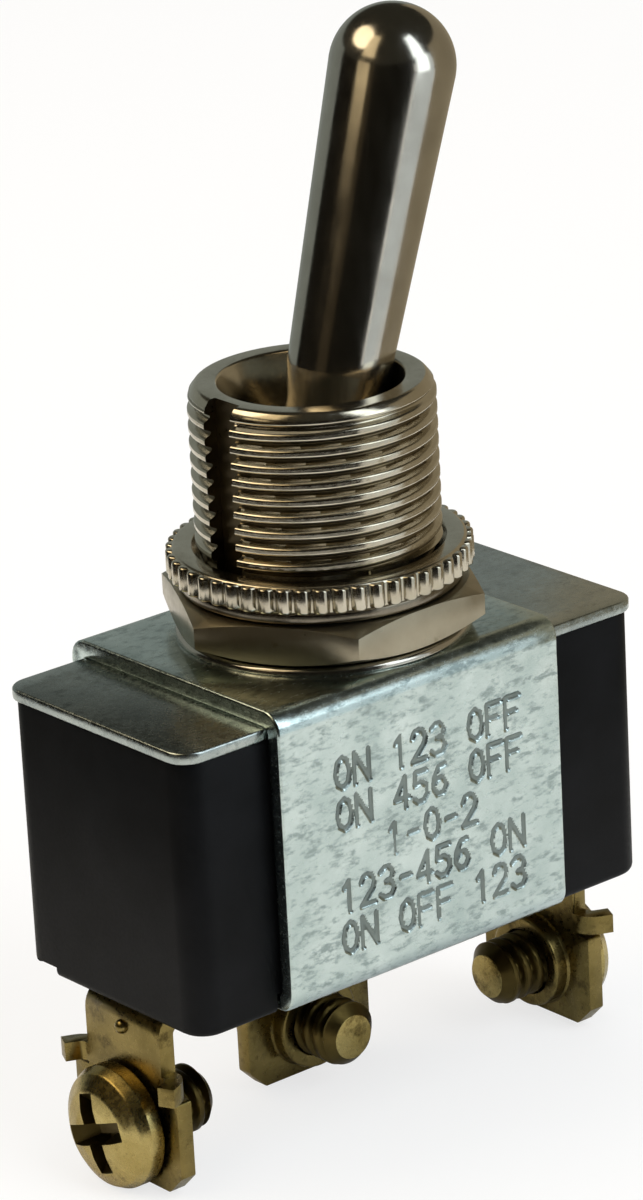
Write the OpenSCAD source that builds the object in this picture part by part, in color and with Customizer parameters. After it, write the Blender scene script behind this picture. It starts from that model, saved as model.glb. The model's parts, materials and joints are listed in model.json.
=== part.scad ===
// Panel toggle switch, single pole, with a bat lever and three screw terminals.
// Millimetres. The origin is on the bushing axis at the front face of the ring nut,
// where a panel stops. +Z leaves the panel along the bushing, and the lever tilts in X.

/* [Lever] */
// Tilt of the lever from upright, on its stop
lever_tilt = 16.75; // [15:0.25:16.75]
// Height of the pivot pin over the origin
pivot_z = 2.16; // [2:0.01:2.2]
// Length from the pivot to the tip
lever_len = 23.36; // [20:0.1:26]
// Radius of the round tip
lever_tip_r = 2.99; // [2.7:0.01:3.2]
// Radius of the shank where it leaves the mouth
lever_base_r = 2.46; // [2.3:0.01:2.5]
// Radius of the waist just over the ball
waist_r = 2.2; // [2:0.05:2.2]
// Radius of the pivot ball
ball_r = 4.1; // [3.9:0.05:4.1]
// Radius of the hollow tail
tail_r = 1.8; // [1.7:0.05:1.8]
// Length of the tail below the pivot
tail_len = 12.5; // [12:0.1:13]
// Radius of the pivot pin
pin_r = 0.8; // [0.6:0.05:0.8]
// Length of the pivot pin
pin_len = 9.5; // [9.2:0.1:9.5]

/* [Bushing] */
// Radius over the thread
thread_r = 5.85; // [5.8:0.01:5.95]
// Radius of the thread's pitch line, where the nuts sit
pitch_r = 5.55; // [5.5:0.01:5.6]
// Pitch of the thread, 32 turns to the inch
thread_pitch = 0.794; // [0.79:0.001:0.8]
// Depth of the thread's grooves
thread_d = 0.38; // [0.3:0.02:0.44]
// Height of the rim over the origin
rim_z = 7.94; // [7:0.1:8.5]
// Chamfer of the rim
rim_chamfer = 0.45; // [0.3:0.05:0.6]
// Radius of the mouth
mouth_r = 4.43; // [4.4:0.01:4.6]
// Width of the keyway
key_w = 1.85; // [1.5:0.05:2]
// Depth of the keyway
key_d = 0.84; // [0.6:0.02:0.9]
// Radius of the flange under the nuts
flange_r = 7; // [6.8:0.05:7.4]
// Thickness of the flange
flange_t = 0.35; // [0.3:0.05:0.5]

/* [Nuts and washer] */
// Outer radius of the fluted ring nut
ring_r = 7.3; // [7.1:0.05:7.6]
// Thickness of the ring nut
ring_t = 1.3; // [1.1:0.05:1.5]
// Number of flutes round the ring nut
flutes = 50; // [40:1:60]
// Depth of a flute
flute_d = 0.3; // [0.2:0.05:0.35]
// Outer radius of the lock washer
washer_r = 6.75; // [6.6:0.05:7]
// Thickness of the lock washer
washer_t = 0.6; // [0.4:0.05:0.7]
// Number of inner teeth on the lock washer
washer_teeth = 12; // [8:1:16]
// Width of the hex nut across its flats
hex_af = 13.9; // [13.8:0.1:14.3]
// Thickness of the hex nut
hex_t = 1.95; // [1.8:0.05:2.1]
// Turn of the hex nut about the bushing
hex_turn = 2; // [0:1:60]

/* [Frame strap and cover plate] */
// Width of the strap along the case
strap_w = 17.2; // [15:0.1:18]
// Offset of the strap's middle from the bushing axis
strap_shift = -0.68; // [-0.8:0.02:0]
// Thickness of the strap
strap_t = 0.85; // [0.7:0.05:0.9]
// Outer radius of the strap's bends
strap_bend = 1; // [0.9:0.05:1.2]
// Overall depth across the strap's two legs
strap_d = 15.4; // [15.3:0.05:15.6]
// Length of the feet folded under the case
foot_len = 2.6; // [2:0.1:3]
// Length of the cover plate
plate_l = 28.24; // [28:0.02:28.6]
// Width of the cover plate
plate_w = 13.5; // [13.4:0.05:13.6]
// Thickness of the cover plate
plate_t = 0.6; // [0.5:0.05:0.7]
// Corner radius of the cover plate
plate_corner = 1.2; // [1:0.1:1.5]

/* [Case] */
// Length of the case
case_l = 28.04; // [27.8:0.02:28.2]
// Width of the case
case_w = 13.3; // [13.2:0.05:13.4]
// Height of the case
case_h = 13.65; // [13.5:0.05:13.8]
// Corner radius of the case
case_corner = 1.4; // [1:0.1:1.6]
// Thickness of the case floor
floor_t = 2.2; // [2:0.1:2.3]
// Thickness of the end walls
end_wall = 1.8; // [1.6:0.1:1.8]
// Thickness of the side walls
side_wall = 1.5; // [1.4:0.1:1.5]

/* [Contacts] */
// Tilt of the rocker either side of level
rocker_tilt = 6; // [5:0.5:6]
// Height of the fulcrum line below the origin
fulcrum_z = -16.02; // [-16.05:0.01:-15.95]
// Width of the rocker
rocker_w = 4.4; // [4:0.1:4.6]
// Thickness of the rocker
rocker_t = 0.8; // [0.6:0.05:0.8]
// Distance from the fulcrum to each moving contact
contact_x = 10.4; // [10:0.1:10.4]
// Radius of a moving contact's face
contact_r = 1.5; // [1.2:0.1:1.6]
// Radius of a fixed contact's face
fixed_r = 1.6; // [1.4:0.1:1.7]

/* [Terminals] */
// Thickness of the terminal strip
term_t = 0.85; // [0.8:0.05:0.9]
// Width of the neck
neck_w = 5.6; // [5:0.1:6]
// Width of the pad
pad_w = 7.7; // [7.4:0.1:8]
// Height of the pad's top below the origin
pad_top = -22.6; // [-23:0.1:-22.4]
// Height of the pad's foot below the origin
pad_foot = -28.45; // [-29:0.05:-28.2]
// Chamfer of the pad's lower corners
pad_chamfer = 0.95; // [0.5:0.05:1.5]
// Reach of the end terminals from the bushing axis
end_reach = 13.5; // [13.3:0.05:13.6]
// Reach of the centre terminal from the bushing axis
centre_reach = 3.62; // [3.4:0.02:3.8]
// Height of the clamp screws below the origin
screw_z = -25.7; // [-26:0.05:-25.5]
// Radius of a clamp screw's shank
screw_r = 1.64; // [1.6:0.01:1.7]
// Length of a clamp screw under its head
screw_len = 4.45; // [4:0.05:5]
// Radius of a clamp screw's head
head_r = 3.05; // [2.9:0.05:3.1]
// Height of a clamp screw's head
head_h = 1.95; // [1.8:0.05:2.1]

/* [Hidden] */
$fn = 96;

// Gap between parts that turn against each other
turn_gap = 0.05;
// Radial gap of a thread or a sliding fit
fit_gap = 0.05;
// Overshoot of a cutting solid
over = 0.5;

// Heights of the stack under the origin
washer_top = -ring_t - turn_gap;
hex_top = washer_top - washer_t - turn_gap;
flange_top = hex_top - hex_t - turn_gap;
strap_top = flange_top - flange_t;
plate_top = strap_top - strap_t;
case_top = plate_top - plate_t;
case_foot = case_top - case_h;
floor_z = case_foot + floor_t;

// Bore of the bushing
bore_r = 4.4;
foot_bore_r = 4.6;
throat_r = 3.35;
throat_z = pivot_z + 2.94;
seat_z = pivot_z + 1.04;
spigot_r = 5;
spigot_gap = 0.03;
lip_r = 5.3;
lip_t = 0.3;
bushing_foot = case_top - lip_t;

// Lever heights along its own axis
waist_top = 4.4;
mouth_s = 6;
spring_bore_r = 1.25;
bore_top = -1.7;

// Insulator and the ledge that it rests on
insulator_t = 0.5;
ledge_z = bushing_foot - insulator_t;
ledge_in = 0.3;

// Upper face of the rocker from the fulcrum line: a centre seat that holds the middle
// position, a steep slope up to a knee, and a shallow slope that holds each end position
ridge_r = 0.27;
under_z = 0.3;
seat_half = 1.3;
seat_top = under_z + rocker_t;
knee_x = 4.1;
knee_z = 2.78;
shoulder_x = 5.14;
arm_top = 3;
arm_under = arm_top - rocker_t;
rocker_half = 11.6;
steep = atan((knee_z - seat_top) / (knee_x - seat_half));
shallow = atan((arm_top - knee_z) / (shoulder_x - knee_x));
contact_h = 0.9;
contact_stem_r = 0.7;
contact_head_r = 1.1;
contact_head_h = 0.35;

// Fixed contacts meet the moving ones with a hair of clearance
closed_gap = 0.05;
closed_low = (arm_under - contact_h) * cos(rocker_tilt)
             - (contact_x + contact_r) * sin(rocker_tilt);
fixed_top = fulcrum_z + closed_low - closed_gap;
rivet_r = 1;
rivet_tail_r = 1.35;
rivet_tail_h = 0.5;

// Plunger: its round tip rests on the rocker's shallow slope
plunger_r = spring_bore_r - fit_gap;
rest_gap = 0.145;
lean = shallow - rocker_tilt;
tip_s = (cos(lean) * (pivot_z - fulcrum_z)
         - (plunger_r + rest_gap - knee_x * sin(shallow) + knee_z * cos(shallow)))
        / cos(lever_tilt - lean);
plunger_top = 9;

// Spring in the lever's tail
coil_r = 0.95;
wire_r = 0.16;
coil_turns = 9;
coil_steps = 14;
wire_sides = 8;

// Terminals and screws
bend_r = 1.2;
ear_w = 1.25;
ear_h = 1.05;
ear_turn = 35;
boss_r = 2.35;
boss_h = 0.85;
head_gap = 0.2;
head_rim = 0.75;
recess_w = 0.6;
recess_l = 3.3;
recess_d = 1.05;

nickel = "#b9b3a8";
polished_nickel = "#c3beb6";
zinc = "#b4b9b8";
brass = "#a08a4a";
phenolic = "#1d1e20";

// A flat bar with rounded corners, from z = 0 up
module rounded_bar(l, w, h, r) {
    linear_extrude(height = h)
        union() {
            square([l - 2 * r, w], center = true);
            square([l, w - 2 * r], center = true);
            for (x = [-1, 1], y = [-1, 1])
                translate([x * (l / 2 - r), y * (w / 2 - r)])
                    circle(r = r, $fn = 48);
        }
}

// Places a shape in the lever's tilted frame, with the pivot at its origin
module on_lever() {
    translate([0, 0, pivot_z])
        rotate([0, lever_tilt, 0])
            children();
}

// Bat, pivot ball and hollow tail, turned from one bar
module lever() {
    tip_c = lever_len - lever_tip_r;
    color(polished_nickel)
        on_lever()
            difference() {
                union() {
                    sphere(r = ball_r);
                    translate([0, 0, -tail_len])
                        cylinder(r = tail_r, h = tail_len);
                    cylinder(r = waist_r, h = waist_top);
                    translate([0, 0, waist_top])
                        cylinder(r1 = waist_r, r2 = lever_base_r, h = mouth_s - waist_top);
                    translate([0, 0, mouth_s])
                        cylinder(r1 = lever_base_r, r2 = lever_tip_r, h = tip_c - mouth_s);
                    translate([0, 0, tip_c])
                        sphere(r = lever_tip_r);
                }
                translate([0, 0, -tail_len - over])
                    cylinder(r = spring_bore_r, h = tail_len + bore_top + over);
                rotate([90, 0, 0])
                    cylinder(r = pin_r, h = 2 * ball_r + over, center = true);
            }
}

// Nylon follower that slides in the tail and rides on the rocker
module plunger() {
    color("#d9d3c2")
        on_lever() {
            translate([0, 0, -tip_s])
                cylinder(r = plunger_r, h = tip_s - plunger_top);
            translate([0, 0, -tip_s])
                sphere(r = plunger_r);
        }
}

// A point on the wire's skin: step i along the coil, corner k of the wire
function coil_point(i, k, rise) =
    let (a = i * 360 / coil_steps, b = k * 360 / wire_sides, r = coil_r + wire_r * cos(b))
    [r * cos(a), r * sin(a), i * rise + wire_r * sin(b)];

// Coil spring between the tail's bore end and the plunger
module plunger_spring() {
    n = coil_turns * coil_steps;
    low = -plunger_top + 2 * wire_r;
    rise = (bore_top + plunger_top - 4 * wire_r) / n;
    points = [for (i = [0:n], k = [0:wire_sides - 1]) coil_point(i, k, rise)];
    sides = [for (i = [0:n - 1], k = [0:wire_sides - 1])
        let (a = i * wire_sides + k, b = i * wire_sides + (k + 1) % wire_sides)
        [a, a + wire_sides, b + wire_sides, b]];
    ends = [[for (k = [0:wire_sides - 1]) k],
            [for (k = [wire_sides - 1:-1:0]) n * wire_sides + k]];
    color("#8f9193")
        on_lever()
            translate([0, 0, low])
                polyhedron(points = points, faces = concat(sides, ends));
}

// Cross pin that the lever rocks on, carried in two slots of the bushing
module pivot_pin() {
    color("#a5a7a9")
        translate([0, 0, pivot_z])
            rotate([90, 0, 0])
                cylinder(r = pin_r, h = pin_len, center = true);
}

// Threaded bushing with its flange, keyway, ball seat and staked spigot.
// Its thread stands as plain rings one pitch apart
module bushing() {
    slot_r = pin_len / 2 + 0.1;
    slot_w = 2 * (pin_r + fit_gap);
    grooves = floor((rim_z - rim_chamfer) / thread_pitch) - 1;
    thread = [for (k = [1:grooves], p = [[-0.22, 0], [0.04, 1], [0.24, 1], [0.5, 0]])
        [thread_r - p[1] * thread_d, (k + p[0]) * thread_pitch]];
    color(nickel)
        difference() {
            rotate_extrude()
                polygon(concat(
                    [[foot_bore_r, bushing_foot], [lip_r, bushing_foot], [lip_r, case_top],
                     [spigot_r, case_top], [spigot_r, strap_top], [flange_r, strap_top],
                     [flange_r, flange_top], [pitch_r, flange_top], [pitch_r, 0], [thread_r, 0]],
                    thread,
                    [[thread_r, rim_z - rim_chamfer], [thread_r - rim_chamfer, rim_z],
                     [mouth_r, rim_z], [throat_r, throat_z], [bore_r, seat_z],
                     [bore_r, flange_top + 1], [foot_bore_r, flange_top]]));
            translate([-thread_r - over, -key_w / 2, flange_top])
                cube([key_d + over, key_w, rim_z - flange_top + over]);
            for (side = [-1, 1]) {
                translate([-slot_w / 2, side > 0 ? 0 : -slot_r, bushing_foot - over])
                    cube([slot_w, slot_r, pivot_z - bushing_foot + over]);
                translate([-slot_w / 2, side > 0 ? 0 : -flange_r, bushing_foot - over])
                    cube([slot_w, flange_r, strap_top - bushing_foot + over]);
                translate([0, side * slot_r / 2, pivot_z])
                    rotate([90, 0, 0])
                        cylinder(r = slot_w / 2, h = slot_r, center = true);
            }
        }
}

// Fluted ring nut that clamps the panel
module ring_nut() {
    sink = 0.5;
    bevel = 0.2;
    root_r = ring_r - flute_d;
    nut_bore = pitch_r + fit_gap;
    step = 360 / flutes;
    color(polished_nickel) {
        difference() {
            linear_extrude(height = ring_t - bevel)
                polygon([for (i = [0:flutes - 1], p = [[0, root_r], [0.18, ring_r],
                                                       [0.62, ring_r], [0.8, root_r]])
                    [p[1] * cos((i + p[0]) * step), p[1] * sin((i + p[0]) * step)]]);
            translate([0, 0, -over])
                cylinder(r = root_r - bevel, h = ring_t + 2 * over);
        }
        rotate_extrude()
            polygon([[nut_bore, 0], [root_r, 0], [root_r, ring_t - bevel],
                     [root_r - 1.5 * bevel, ring_t], [nut_bore + sink, ring_t],
                     [nut_bore, ring_t - sink]]);
    }
}

// Internal-tooth lock washer
module lock_washer() {
    rim = 0.65;
    tooth_w = 1.5;
    color(zinc)
        translate([0, 0, washer_top - washer_t])
            linear_extrude(height = washer_t)
                difference() {
                    circle(r = washer_r);
                    circle(r = pitch_r + 3 * fit_gap);
                    for (i = [0:washer_teeth - 1])
                        rotate([0, 0, i * 360 / washer_teeth])
                            translate([washer_r - rim - 2, -tooth_w / 2])
                                square([2, tooth_w]);
                }
}

// Hex nut with a light upper chamfer and a deep lower one
module hex_nut() {
    corner_r = hex_af / sqrt(3);
    clear_r = corner_r + 0.08;
    upper = 0.35;
    lower = 0.65;
    color(nickel)
        translate([0, 0, hex_top - hex_t])
            difference() {
                intersection() {
                    rotate([0, 0, hex_turn])
                        cylinder(r = corner_r, h = hex_t, $fn = 6);
                    rotate_extrude()
                        polygon([[0, 0], [hex_af / 2 - 0.2, 0], [clear_r, lower],
                                 [clear_r, hex_t - upper], [hex_af / 2 + 0.06, hex_t],
                                 [0, hex_t]]);
                }
                translate([0, 0, -over])
                    cylinder(r = pitch_r + fit_gap, h = hex_t + 2 * over);
            }
}

// Steel strap over the cover plate, folded down both sides and under the case
module frame_strap() {
    foot = case_foot + 0.15;
    h = strap_top - foot;
    inner_d = strap_d - 2 * strap_t;
    mid = foot + h / 2;
    color(zinc)
        difference() {
            translate([strap_shift - strap_w / 2, 0, mid])
                rotate([90, 0, 90])
                    linear_extrude(height = strap_w)
                        difference() {
                            union() {
                                square([strap_d, h - 2 * strap_bend], center = true);
                                square([strap_d - 2 * strap_bend, h], center = true);
                                for (x = [-1, 1], y = [-1, 1])
                                    translate([x * (strap_d / 2 - strap_bend),
                                               y * (h / 2 - strap_bend)])
                                        circle(r = strap_bend, $fn = 48);
                            }
                            square([inner_d, h - 2 * strap_t], center = true);
                            translate([0, -h / 2])
                                square([strap_d - 2 * foot_len, 2 * strap_t + over], center = true);
                        }
            translate([0, 0, plate_top - over])
                cylinder(r = spigot_r + spigot_gap, h = strap_t + 2 * over);
        }
}

// Cover plate that closes the case
module cover_plate() {
    color("#a3a6a4")
        difference() {
            translate([0, 0, case_top])
                rounded_bar(plate_l, plate_w, plate_t, plate_corner);
            translate([0, 0, case_top - over])
                cylinder(r = spigot_r + spigot_gap, h = plate_t + 2 * over);
        }
}

// Vulcanised fibre sheet under the cover plate, with a slot for the lever's tail
module insulator() {
    slot_l = 10.4;
    slot_w = 4.6;
    play = 0.2;
    color("#6e2f25")
        difference() {
            translate([0, 0, ledge_z])
                rounded_bar(case_l - 2 * end_wall + 2 * ledge_in - play,
                            case_w - 2 * side_wall + 2 * ledge_in - play, insulator_t, 0.6);
            translate([0, 0, ledge_z - over])
                rounded_bar(slot_l, slot_w, insulator_t + 2 * over, slot_w / 2 - 0.01);
        }
}

// Moulded phenolic case, open at the top
module case() {
    in_l = case_l - 2 * end_wall;
    in_w = case_w - 2 * side_wall;
    notch_l = 2;
    notch_in = 0.5;
    notch_h = 0.55;
    foot_top = case_foot + 0.15 + strap_t;
    color(phenolic)
        difference() {
            translate([0, 0, case_foot])
                rounded_bar(case_l, case_w, case_h, case_corner);
            translate([0, 0, floor_z])
                rounded_bar(in_l, in_w, case_h, 0.5);
            translate([0, 0, ledge_z])
                rounded_bar(in_l + 2 * ledge_in, in_w + 2 * ledge_in, case_h, 0.6);
            for (side = [-1, 1]) {
                translate([strap_shift - strap_w / 2 - 0.1,
                           side > 0 ? strap_d / 2 - foot_len - 0.1 : -case_w / 2 - over,
                           case_foot - over])
                    cube([strap_w + 0.2, case_w / 2 - strap_d / 2 + foot_len + 0.1 + over,
                          foot_top - case_foot + over]);
                translate([side * case_l / 2 - 1, -side * (case_w / 2 - notch_in - notch_l / 2)
                           - notch_l / 2, case_foot - over])
                    cube([2, notch_l, notch_h + over]);
            }
            for (x = [-contact_x, 0, contact_x])
                translate([x, 0, case_foot - over])
                    cylinder(r = rivet_r, h = floor_t + 2 * over, $fn = 48);
        }
}

// Places a shape in the rocker's tilted frame, with the fulcrum line at its origin
module on_rocker() {
    translate([0, 0, fulcrum_z])
        rotate([0, -rocker_tilt, 0])
            children();
}

// The point under p on the blade's lower face, between slopes a and b
function under_point(p, a, b) =
    p + rocker_t / cos((a - b) / 2) * [sin((a + b) / 2), -cos((a + b) / 2)];

// Dished copper blade that rocks on the fulcrum
module contact_rocker() {
    half = [under_point([seat_half, seat_top], 0, steep),
            under_point([knee_x, knee_z], steep, shallow),
            under_point([shoulder_x, arm_top], shallow, 0),
            [rocker_half, arm_under], [rocker_half, arm_top], [shoulder_x, arm_top],
            [knee_x, knee_z], [seat_half, seat_top]];
    mirrored = [for (i = [len(half) - 1:-1:0]) [-half[i][0], half[i][1]]];
    color("#b06a3c")
        on_rocker()
            difference() {
                rotate([90, 0, 0])
                    linear_extrude(height = rocker_w, center = true)
                        polygon(concat(half, mirrored));
                for (x = [-contact_x, contact_x])
                    translate([x, 0, 0])
                        cylinder(r = contact_stem_r, h = arm_top + over, $fn = 48);
            }
}

// Silver rivet in the rocker's arm, face down
module moving_contact(x) {
    color("#cfd0cd")
        on_rocker()
            translate([x, 0, 0]) {
                translate([0, 0, arm_under - contact_h])
                    cylinder(r = contact_r, h = contact_h, $fn = 48);
                translate([0, 0, arm_under])
                    cylinder(r = contact_stem_r, h = rocker_t, $fn = 48);
                translate([0, 0, arm_top])
                    cylinder(r = contact_head_r, h = contact_head_h, $fn = 48);
            }
}

// Rivet through the case floor that holds a terminal and carries its contact face
module fixed_contact(x) {
    tail_z = case_foot - term_t;
    color("#cfd0cd")
        translate([x, 0, 0]) {
            translate([0, 0, floor_z])
                cylinder(r = fixed_r, h = fixed_top - floor_z, $fn = 48);
            translate([0, 0, tail_z])
                cylinder(r = rivet_r, h = floor_z - tail_z, $fn = 48);
            translate([0, 0, tail_z - rivet_tail_h])
                cylinder(r = rivet_tail_r, h = rivet_tail_h, $fn = 48);
        }
}

// Brass bracket whose rounded ridge carries the rocker between two cheeks
module fulcrum_bracket() {
    base_l = 6.4;
    base_t = 0.6;
    cheek_t = 0.6;
    cheek_l = 2.6;
    cheek_top = 2.4;
    ridge_half = 0.9;
    outer_w = rocker_w + 0.6 + 2 * cheek_t;
    ridge_w = rocker_w + 0.6;
    base_top = floor_z + base_t;
    color(brass)
        difference() {
            union() {
                translate([-base_l / 2, -outer_w / 2, floor_z])
                    cube([base_l, outer_w, base_t]);
                rotate([90, 0, 0])
                    linear_extrude(height = ridge_w, center = true)
                        polygon([[-ridge_half, base_top], [ridge_half, base_top],
                                 [ridge_r, fulcrum_z], [-ridge_r, fulcrum_z]]);
                translate([0, 0, fulcrum_z])
                    rotate([90, 0, 0])
                        cylinder(r = ridge_r, h = ridge_w, center = true, $fn = 48);
                for (side = [-1, 1])
                    translate([-cheek_l / 2, side * (outer_w - cheek_t) / 2 - cheek_t / 2, floor_z])
                        cube([cheek_l, cheek_t, cheek_top]);
            }
            translate([0, 0, floor_z - over])
                cylinder(r = rivet_r, h = base_t + over + 0.01, $fn = 48);
        }
}

// Rivet that joins the bracket to the centre terminal through the case floor
module centre_rivet() {
    tail_z = case_foot - term_t;
    color(brass) {
        translate([0, 0, tail_z])
            cylinder(r = rivet_r, h = floor_z + 0.55 - tail_z, $fn = 48);
        translate([0, 0, tail_z - rivet_tail_h])
            cylinder(r = rivet_tail_r, h = rivet_tail_h, $fn = 48);
    }
}

// Terminal strip: an arm under the case, a bend, a neck and a screw pad facing -X
module terminal(reach, arm_end, rivet_x) {
    arm_foot = case_foot - term_t;
    color(brass)
        difference() {
            union() {
                rotate([90, 0, 0])
                    linear_extrude(height = neck_w, center = true)
                        union() {
                            translate([-reach + bend_r, arm_foot])
                                square([reach - bend_r + arm_end, term_t]);
                            translate([-reach, pad_top])
                                square([term_t, case_foot - bend_r - pad_top]);
                            intersection() {
                                translate([-reach + bend_r, case_foot - bend_r])
                                    difference() {
                                        circle(r = bend_r, $fn = 64);
                                        circle(r = bend_r - term_t, $fn = 64);
                                    }
                                translate([-reach, case_foot - bend_r])
                                    square([bend_r, bend_r]);
                            }
                        }
                translate([-reach, 0, 0])
                    rotate([90, 0, 90])
                        linear_extrude(height = term_t)
                            polygon([[-neck_w / 2, pad_top], [neck_w / 2, pad_top],
                                     [neck_w / 2, pad_top - ear_h], [pad_w / 2, pad_top - ear_h],
                                     [pad_w / 2, pad_foot + pad_chamfer],
                                     [pad_w / 2 - pad_chamfer, pad_foot],
                                     [-pad_w / 2 + pad_chamfer, pad_foot],
                                     [-pad_w / 2, pad_foot + pad_chamfer],
                                     [-pad_w / 2, pad_top - ear_h], [-neck_w / 2, pad_top - ear_h]]);
                for (side = [-1, 1])
                    translate([-reach + term_t / 2, side * (neck_w / 2 - 0.3), pad_top - ear_h + 0.12])
                        rotate([0, 0, side * ear_turn])
                            translate([-term_t / 2, side > 0 ? 0 : -ear_w - 0.3, 0])
                                cube([term_t, ear_w + 0.3, ear_h - 0.12]);
                translate([-reach + term_t, 0, screw_z])
                    rotate([0, 90, 0])
                        cylinder(r = boss_r, h = boss_h);
                translate([-reach, 0, case_foot - bend_r - 0.1])
                    sphere(r = 0.35, $fn = 32);
            }
            translate([-reach - over, 0, screw_z])
                rotate([0, 90, 0])
                    cylinder(r = screw_r + fit_gap, h = term_t + boss_h + 2 * over);
            translate([rivet_x, 0, arm_foot - over])
                cylinder(r = rivet_r, h = term_t + 2 * over, $fn = 48);
        }
}

// Pan-head clamp screw with a cross recess, its head facing -X
module clamp_screw(reach) {
    dome_r = 2.2;
    end_chamfer = 0.35;
    color(brass)
        translate([-reach - head_gap, 0, screw_z])
            rotate([0, -90, 0])
                difference() {
                    rotate_extrude()
                        polygon([[0, -screw_len], [screw_r - end_chamfer, -screw_len],
                                 [screw_r, -screw_len + end_chamfer], [screw_r, 0], [head_r, 0],
                                 [head_r, head_rim], [head_r - 0.25, head_rim + 0.5],
                                 [dome_r, head_h - 0.25], [dome_r - 0.9, head_h], [0, head_h]]);
                    for (a = [20, 110])
                        rotate([0, 0, a])
                            translate([-recess_l / 2, -recess_w / 2, head_h - recess_d])
                                cube([recess_l, recess_w, recess_d + over]);
                }
}

// The right terminal faces +X and the centre one faces +Y
module facing_right() {
    rotate([0, 0, 180])
        children();
}

module facing_back() {
    rotate([0, 0, -90])
        children();
}

lever();
plunger();
plunger_spring();
pivot_pin();
bushing();
translate([0, 0, -ring_t]) ring_nut();
lock_washer();
hex_nut();
frame_strap();
cover_plate();
insulator();
case();
contact_rocker();
moving_contact(-contact_x);  // moving_contact_left
moving_contact(contact_x);  // moving_contact_right
fixed_contact(-contact_x);  // fixed_contact_left
fixed_contact(contact_x);  // fixed_contact_right
fulcrum_bracket();
centre_rivet();
terminal(end_reach, -9, -contact_x);  // terminal_left
facing_right() terminal(end_reach, -9, -contact_x);  // terminal_right
facing_back() terminal(centre_reach, 1.8, 0);  // terminal_centre
clamp_screw(end_reach);  // screw_left
facing_right() clamp_screw(end_reach);  // screw_right
facing_back() clamp_screw(centre_reach);  // screw_centre
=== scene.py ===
# Panel toggle switch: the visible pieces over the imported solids, their finishes,
# a pale floor, soft lamps, the cards that metal mirrors, and the camera.
# Sizes in the text are millimetres.
import json
import math

import bmesh
import bpy
import numpy as np
from mathutils import Matrix, Vector, noise

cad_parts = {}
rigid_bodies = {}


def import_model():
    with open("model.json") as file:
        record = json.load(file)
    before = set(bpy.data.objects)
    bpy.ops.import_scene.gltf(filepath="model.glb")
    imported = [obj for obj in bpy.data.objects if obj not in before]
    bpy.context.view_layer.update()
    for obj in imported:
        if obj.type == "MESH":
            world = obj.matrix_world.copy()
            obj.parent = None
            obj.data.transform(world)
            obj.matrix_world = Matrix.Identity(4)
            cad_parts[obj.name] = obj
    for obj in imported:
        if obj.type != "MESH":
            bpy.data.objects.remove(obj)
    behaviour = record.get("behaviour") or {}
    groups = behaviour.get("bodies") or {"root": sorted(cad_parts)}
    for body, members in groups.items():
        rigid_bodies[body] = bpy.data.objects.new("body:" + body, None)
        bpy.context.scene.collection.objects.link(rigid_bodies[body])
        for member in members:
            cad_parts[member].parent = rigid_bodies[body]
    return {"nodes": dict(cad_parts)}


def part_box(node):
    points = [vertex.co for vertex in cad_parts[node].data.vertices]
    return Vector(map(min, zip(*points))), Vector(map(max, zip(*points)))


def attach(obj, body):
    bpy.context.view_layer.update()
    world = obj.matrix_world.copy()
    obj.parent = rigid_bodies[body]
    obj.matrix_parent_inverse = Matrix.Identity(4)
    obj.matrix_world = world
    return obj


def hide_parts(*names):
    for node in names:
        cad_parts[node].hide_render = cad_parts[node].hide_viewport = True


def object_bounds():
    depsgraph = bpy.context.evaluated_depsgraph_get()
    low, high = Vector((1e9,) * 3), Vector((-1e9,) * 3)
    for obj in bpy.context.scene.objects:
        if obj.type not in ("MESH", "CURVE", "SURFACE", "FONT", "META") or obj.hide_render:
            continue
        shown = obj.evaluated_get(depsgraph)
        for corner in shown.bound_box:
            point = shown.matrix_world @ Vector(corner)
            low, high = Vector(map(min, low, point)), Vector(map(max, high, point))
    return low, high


MM = 0.001
for leftover in list(bpy.data.objects):
    bpy.data.objects.remove(leftover)

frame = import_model()
cad_low, cad_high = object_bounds()


# ---------------------------------------------------------------- shapes

def low_mm(node):
    return [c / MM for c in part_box(node)[0]]


def high_mm(node):
    return [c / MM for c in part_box(node)[1]]


def at(x, y, z):
    return Matrix.Translation((x * MM, y * MM, z * MM))


def turn(degrees, axis):
    return Matrix.Rotation(math.radians(degrees), 4, axis)


# An outline drawn in X and Y and thickened along Z, stood up to face +X or -Y
FACE_X = Matrix(((0, 0, 1, 0), (1, 0, 0, 0), (0, 1, 0, 0), (0, 0, 0, 1)))
FACE_Y = turn(90, "X")


def solid(name, points, faces):
    """A mesh object from points in millimetres, its doubles merged and its faces outward."""
    mesh = bpy.data.meshes.new(name)
    mesh.from_pydata([[c * MM for c in p] for p in points], [], faces)
    tidy = bmesh.new()
    tidy.from_mesh(mesh)
    bmesh.ops.remove_doubles(tidy, verts=tidy.verts, dist=1e-7)
    bmesh.ops.recalc_face_normals(tidy, faces=tidy.faces)
    tidy.to_mesh(mesh)
    tidy.free()
    obj = bpy.data.objects.new(name, mesh)
    bpy.context.scene.collection.objects.link(obj)
    return obj


def move(obj, matrix):
    obj.data.transform(matrix)
    return obj


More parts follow.
